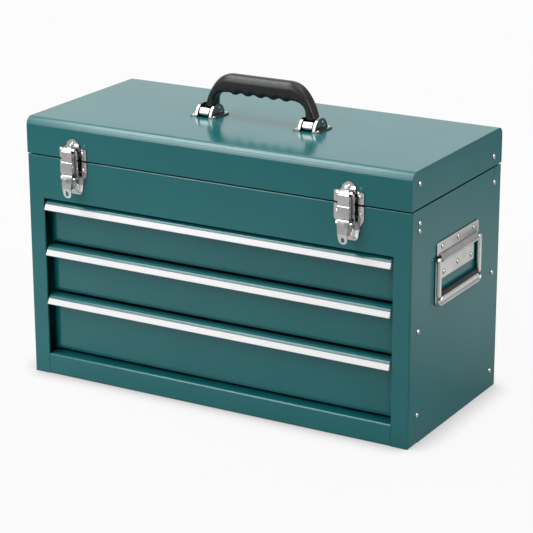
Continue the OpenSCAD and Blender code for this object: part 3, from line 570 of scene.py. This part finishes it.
# across the bail's bar: distance from the outer edge and height over the back face, in mm
OUTER_SIDE = (
    (0, 0), (0, 1.1), (0.45, 1.4), (0.8, 2.1), (0.8, 4.5), (1.0, 5.2), (1.5, 5.8), (2.3, 6.0),
    (3.2, 5.9),
)
# the same from the inner edge
INNER_SIDE = (
    (5.8, 5.1), (4.0, 4.9), (2.6, 5.3), (1.6, 5.9), (0.9, 5.9), (0.3, 5.4), (0, 4.6), (0, 0),
)


def bail_pairs(half, low, top):
    """Outer and inner (y, z) points from the top of a leg to the middle of the bar."""
    leg_end = Vector((half - LEG_W / 2, low + LEG_END))
    relief = LEG_W / 2 + RELIEF
    start = -math.acos((LEG_W / 2 - WEB_T) / relief)
    end = -math.pi + math.asin((LEG_END - BAR_H) / relief)
    leg_low = leg_end.y + relief * math.sin(start)
    for i in range(UPRIGHT_STEPS):
        z = mix(top, leg_low, i / UPRIGHT_STEPS)
        yield Vector((half, z)), Vector((half - WEB_T, z))
    for i in range(CORNER_STEPS + 1):
        a = math.pi / 2 * i / CORNER_STEPS
        b = mix(start, end, i / CORNER_STEPS)
        corner = Vector((half - CORNER_R, low + CORNER_R))
        outer = corner + CORNER_R * Vector((math.cos(a), -math.sin(a)))
        yield outer, leg_end + relief * Vector((math.cos(b), math.sin(b)))
    for i in range(1, CROSSBAR_STEPS + 1):
        y = (half - CORNER_R) * (1 - i / CROSSBAR_STEPS)
        yield Vector((y, low)), Vector((y, low + BAR_H))


def bail_section(outer, inner):
    """Points round the channel's section between two (y, z) points, as (height, y, z)."""
    width = (inner - outer).length
    across = (inner - outer) / width
    crest = mix(WEB_CREST, CREST, min(1, max(0, (width - WEB_T) / CREST_RISE)))
    steps = [(t * MM, height) for t, height in OUTER_SIDE]
    steps += [(width - t * MM, height) for t, height in INNER_SIDE]
    reached = 0
    ring = []
    for t, height in steps:
        reached = min(max(t, reached), width)
        place = outer + across * reached
        ring.append((min(height * MM, crest), place.x, place.y))
    return ring


def leg_section(middle, z, half_width, crest):
    """Points round a leg's arched section, as (height, y, z)."""
    ring = [(LEG_BACK, middle + half_width, z)]
    for i in range(ARCH_STEPS + 1):
        a = math.pi * i / ARCH_STEPS
        height = LEG_SIDE + (crest - LEG_SIDE) * math.sin(a) ** LEG_ARCH
        ring.append((height, middle + half_width * math.cos(a), z))
    ring.append((LEG_BACK, middle - half_width, z))
    return ring


def leg_rings(half, low, top):
    half_width = (LEG_W - LEG_PLAY) / 2
    middle = half - LEG_W + half_width
    leg_end = low + LEG_END
    rings = []
    for i in range(UPRIGHT_STEPS):
        z = mix(top, leg_end, i / UPRIGHT_STEPS)
        rings.append(leg_section(middle, z, half_width, CREST))
    for i in range(TIP_STEPS + 1):
        a = TIP_TURN * i / TIP_STEPS
        crest = mix(LEG_TIP_CREST, CREST, math.cos(a))
        z = leg_end - half_width * math.sin(a)
        rings.append(leg_section(middle, z, half_width * math.cos(a), crest))
    return rings


def bail_pressing(side_name, side):
    """Bail of one drop handle: a channel with a rolled edge, and two arched legs with round ends."""
    node = "side_bail_" + side_name
    low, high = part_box(node)
    half = high.y
    back = min(abs(low.x), abs(high.x))
    rod_z = sum(corner.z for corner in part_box("side_bail_rod_" + side_name)) / 2
    top = rod_z + CREST / 2 - TOP_SHORT

    def placed(ring, mirror):
        """Ring in the frame's axes, with its part above the rod bent into a round top."""
        points = []
        for height, y, z in ring:
            up = max(0, z - rod_z) / (CREST / 2)
            height = CREST / 2 + (height - CREST / 2) * math.sqrt(max(0, 1 - up * up))
            points.append((side * (back + height), mirror * y, z))
        return points

    half_channel = [bail_section(*pair) for pair in bail_pairs(half, low.z, top)]
    channel = [placed(r, 1) for r in half_channel] + [placed(r, -1) for r in half_channel[-2::-1]]
    legs = leg_rings(half, low.z, top)
    tubes = [channel, [placed(r, 1) for r in legs], [placed(r, -1) for r in legs]]
    piece = mesh_piece(node + "_pressing", tubes, "nickel_plate", node, node)
    tidy_shell(piece)


grip_moulding()
for side_name, side in (("left", -1), ("right", 1)):
    knuckle_plating(side_name, side)
    bail_pressing(side_name, side)

# ---- Stage ----

WHITE = 0.973
FLOOR_HALF = 12.0
FLOOR_GREY = 0.3
# middles of the painted pools of light on the floor, as paler albedo, with the albedo there and the
# reach at which it has faded
LIGHT_POOLS = (((-0.4, -0.15, 0), 0.66, 1.0), ((0.6, 0.45, 0), 0.6, 0.7))
LIGHT_POOL_CORE = 0.1  # reach at which a painted pool of light starts to fade
CONTACT = 0.05  # reach of the painted soft shadow where the box meets the floor
CONTACT_DARKEST = 0.25
# share of even white in the floor that the camera sees: this much up to SHADOW_NEAR from the
# box's middle, and all of it from SHADOW_FAR on
NEAR_SHARE, SHADOW_NEAR, SHADOW_FAR = 0.96, 0.3, 0.7
AMBIENT = 0.48  # the world's strength on matt surfaces
# where black cards stand, which metal mirrors: direction and how dark
FLAGS = (((0.9, -0.4, 0.12), 0.08), ((0.45, 0.88, 0.1), 0.4))
FLAG_EDGE, FLAG_CORE = 0.78, 0.9  # cosines of the angles from a card's middle to its edge and core


def floor():
    """A white sweep to the camera, with a painted contact shadow, which lights and mirrors as painted
    pools of light on a greyer floor.
    """
    mesh = bpy.data.meshes.new("floor")
    corners = [(x * FLOOR_HALF, y * FLOOR_HALF, 0) for x, y in ((-1, -1), (1, -1), (1, 1), (-1, 1))]
    mesh.from_pydata(corners, [], [(0, 1, 2, 3)])
    piece = new_object("floor", mesh)
    m = Coat("floor")
    m.tree.nodes.remove(m.shader)
    albedo = FLOOR_GREY
    for middle, pale, reach in LIGHT_POOLS:
        light_pool = m.ranged(m.vector_math("DISTANCE", middle), pale, FLOOR_GREY, LIGHT_POOL_CORE, reach)
        albedo = m.math("MAXIMUM", albedo, light_pool)
    # painted shadow: the white that the camera sees darkens where the box stands near
    painted_contact_shadow = m.painted_shade(CONTACT, CONTACT_DARKEST)
    shadowed_white = m.blend(painted_contact_shadow, (0, 0, 0), (WHITE,) * 3)
    away = m.vector_math("DISTANCE", (0, 0, 0))
    share = m.math(
        "MULTIPLY",
        m.node("ShaderNodeLightPath", "Is Camera Ray"),
        m.ranged(away, NEAR_SHARE, 1, SHADOW_NEAR, SHADOW_FAR),
    )
    both = m.node("ShaderNodeMixShader", "Shader", {
        "Fac": share,
        1: m.node("ShaderNodeBsdfDiffuse", "BSDF", {"Color": albedo}),
        2: m.node("ShaderNodeEmission", "Emission", {"Color": shadowed_white}),
    })
    m.put(both, m.tree.nodes["Material Output"].inputs["Surface"])
    mesh.materials.append(m.material)


def world():
    """White to the camera, and to glossy and transmitted rays but for the black cards."""
    scene_world = bpy.data.worlds.new("studio")
    bpy.context.scene.world = scene_world
    scene_world.use_nodes = True
    m = Nodes(scene_world.node_tree, "Generated")
    ray = m.tree.nodes.new("ShaderNodeLightPath").outputs
    mirrored = m.math("MAXIMUM", ray["Is Camera Ray"], ray["Is Glossy Ray"])
    clear = m.math("MAXIMUM", mirrored, ray["Is Transmission Ray"])
    strength = m.ranged(clear, AMBIENT, 1.0, 0, 1)
    for towards, darkest in FLAGS:
        near = m.vector_math("DOT_PRODUCT", Vector(towards).normalized())
        card = m.ranged(
            near, 1.0, darkest, FLAG_EDGE, FLAG_CORE, interpolation_type="SMOOTHSTEP"
        )
        strength = m.math("MULTIPLY", strength, card)
    seen = m.node("ShaderNodeMix", "Result", {
        "Factor": ray["Is Camera Ray"], "A": strength, "B": 1.0
    })
    back = m.tree.nodes["Background"]
    m.put((WHITE, WHITE, WHITE, 1), back.inputs["Color"])
    m.put(seen, back.inputs["Strength"])


# ---- Camera ----

CAMERA = {
    "azimuth": 30.043,
    "elevation": 18.1813,
    "roll": -0.1659,
    "distance": 2.610244,
    "slide_right": 0.0097918,
    "slide_down": 0.0029063,
    "target": Vector((0, -0.010, 0.150)),
    "lens": 144.69,
}


def camera_back():
    """Direction from the box to the camera."""
    azimuth = math.radians(CAMERA["azimuth"])
    elevation = math.radians(CAMERA["elevation"])
    return Vector((
        math.sin(azimuth) * math.cos(elevation),
        -math.cos(azimuth) * math.cos(elevation),
        math.sin(elevation),
    ))


def camera():
    back = camera_back()
    right = (-back).cross(Vector((0, 0, 1))).normalized()
    up = back.cross(right)
    roll = math.radians(CAMERA["roll"])
    right, up = (
        right * math.cos(roll) + up * math.sin(roll),
        up * math.cos(roll) - right * math.sin(roll),
    )
    place = (
        CAMERA["target"] + back * CAMERA["distance"]
        + right * CAMERA["slide_right"] - up * CAMERA["slide_down"]
    )
    data = bpy.data.cameras.new("camera")
    data.sensor_width = 36
    data.lens = CAMERA["lens"]
    data.clip_start = 0.1
    data.clip_end = 60
    shot = new_object("camera", data)
    turn = Matrix((right, up, back)).transposed()
    shot.matrix_world = Matrix.Translation(place) @ turn.to_4x4()
    bpy.context.scene.camera = shot


# ---- Lamps ----

LID_EDGE = Vector((-0.05, LID_FRONT, LID_TOP))
# distance, width and length of the lamps that the lid's front bend mirrors to the camera
BEND_REACH, BEND_WIDTH, BEND_LENGTH = 2.3, 0.8, 1.5
# each with the forward lean of the bend's normal, in degrees, where it is mirrored, and its power
BEND_LAMPS = (("bend_high", 36, 25), ("bend_middle", 53, 18), ("bend_low", 70, 14))
AIM = Vector((0, 0, 0.15))
# lamps aimed at the box, with place, width, height and power
AIMED_LAMPS = (
    ("overhead", (0.65, 0.3, 2.1), 1.5, 1.5, 13),
    ("right", (2.4, -0.4, 1.2), 1.4, 1.2, 25),
)


def softbox(name, place, axes, width, height, power):
    """Area lamp with its own x, y and z axes in the frame's; it shines along its -z."""
    light = bpy.data.lights.new(name, "AREA")
    light.shape = "RECTANGLE"
    light.size = width
    light.size_y = height
    light.energy = power
    lamp = new_object(name, light)
    lamp.matrix_world = Matrix.Translation(place) @ Matrix(axes).transposed().to_4x4()


def bend_lamp(name, lean, power):
    """Lamp that the lid's front bend mirrors to the camera where its normal leans so far forward."""
    view = -camera_back()
    normal = Vector((0, -math.sin(math.radians(lean)), math.cos(math.radians(lean))))
    back = view - 2 * view.dot(normal) * normal
    along = Vector((1, 0, 0)).cross(back).normalized()
    axes = (along.cross(back), along, back)
    softbox(name, LID_EDGE + back * BEND_REACH, axes, BEND_WIDTH, BEND_LENGTH, power)


def aimed_lamp(name, place, width, height, power):
    back = (Vector(place) - AIM).normalized()
    across = Vector((0, 0, 1)).cross(back).normalized()
    softbox(name, place, (across, back.cross(across), back), width, height, power)


floor()
world()
for lamp in BEND_LAMPS:
    bend_lamp(*lamp)
for lamp in AIMED_LAMPS:
    aimed_lamp(*lamp)
camera()
bpy.context.scene.view_settings.view_transform = "Standard"
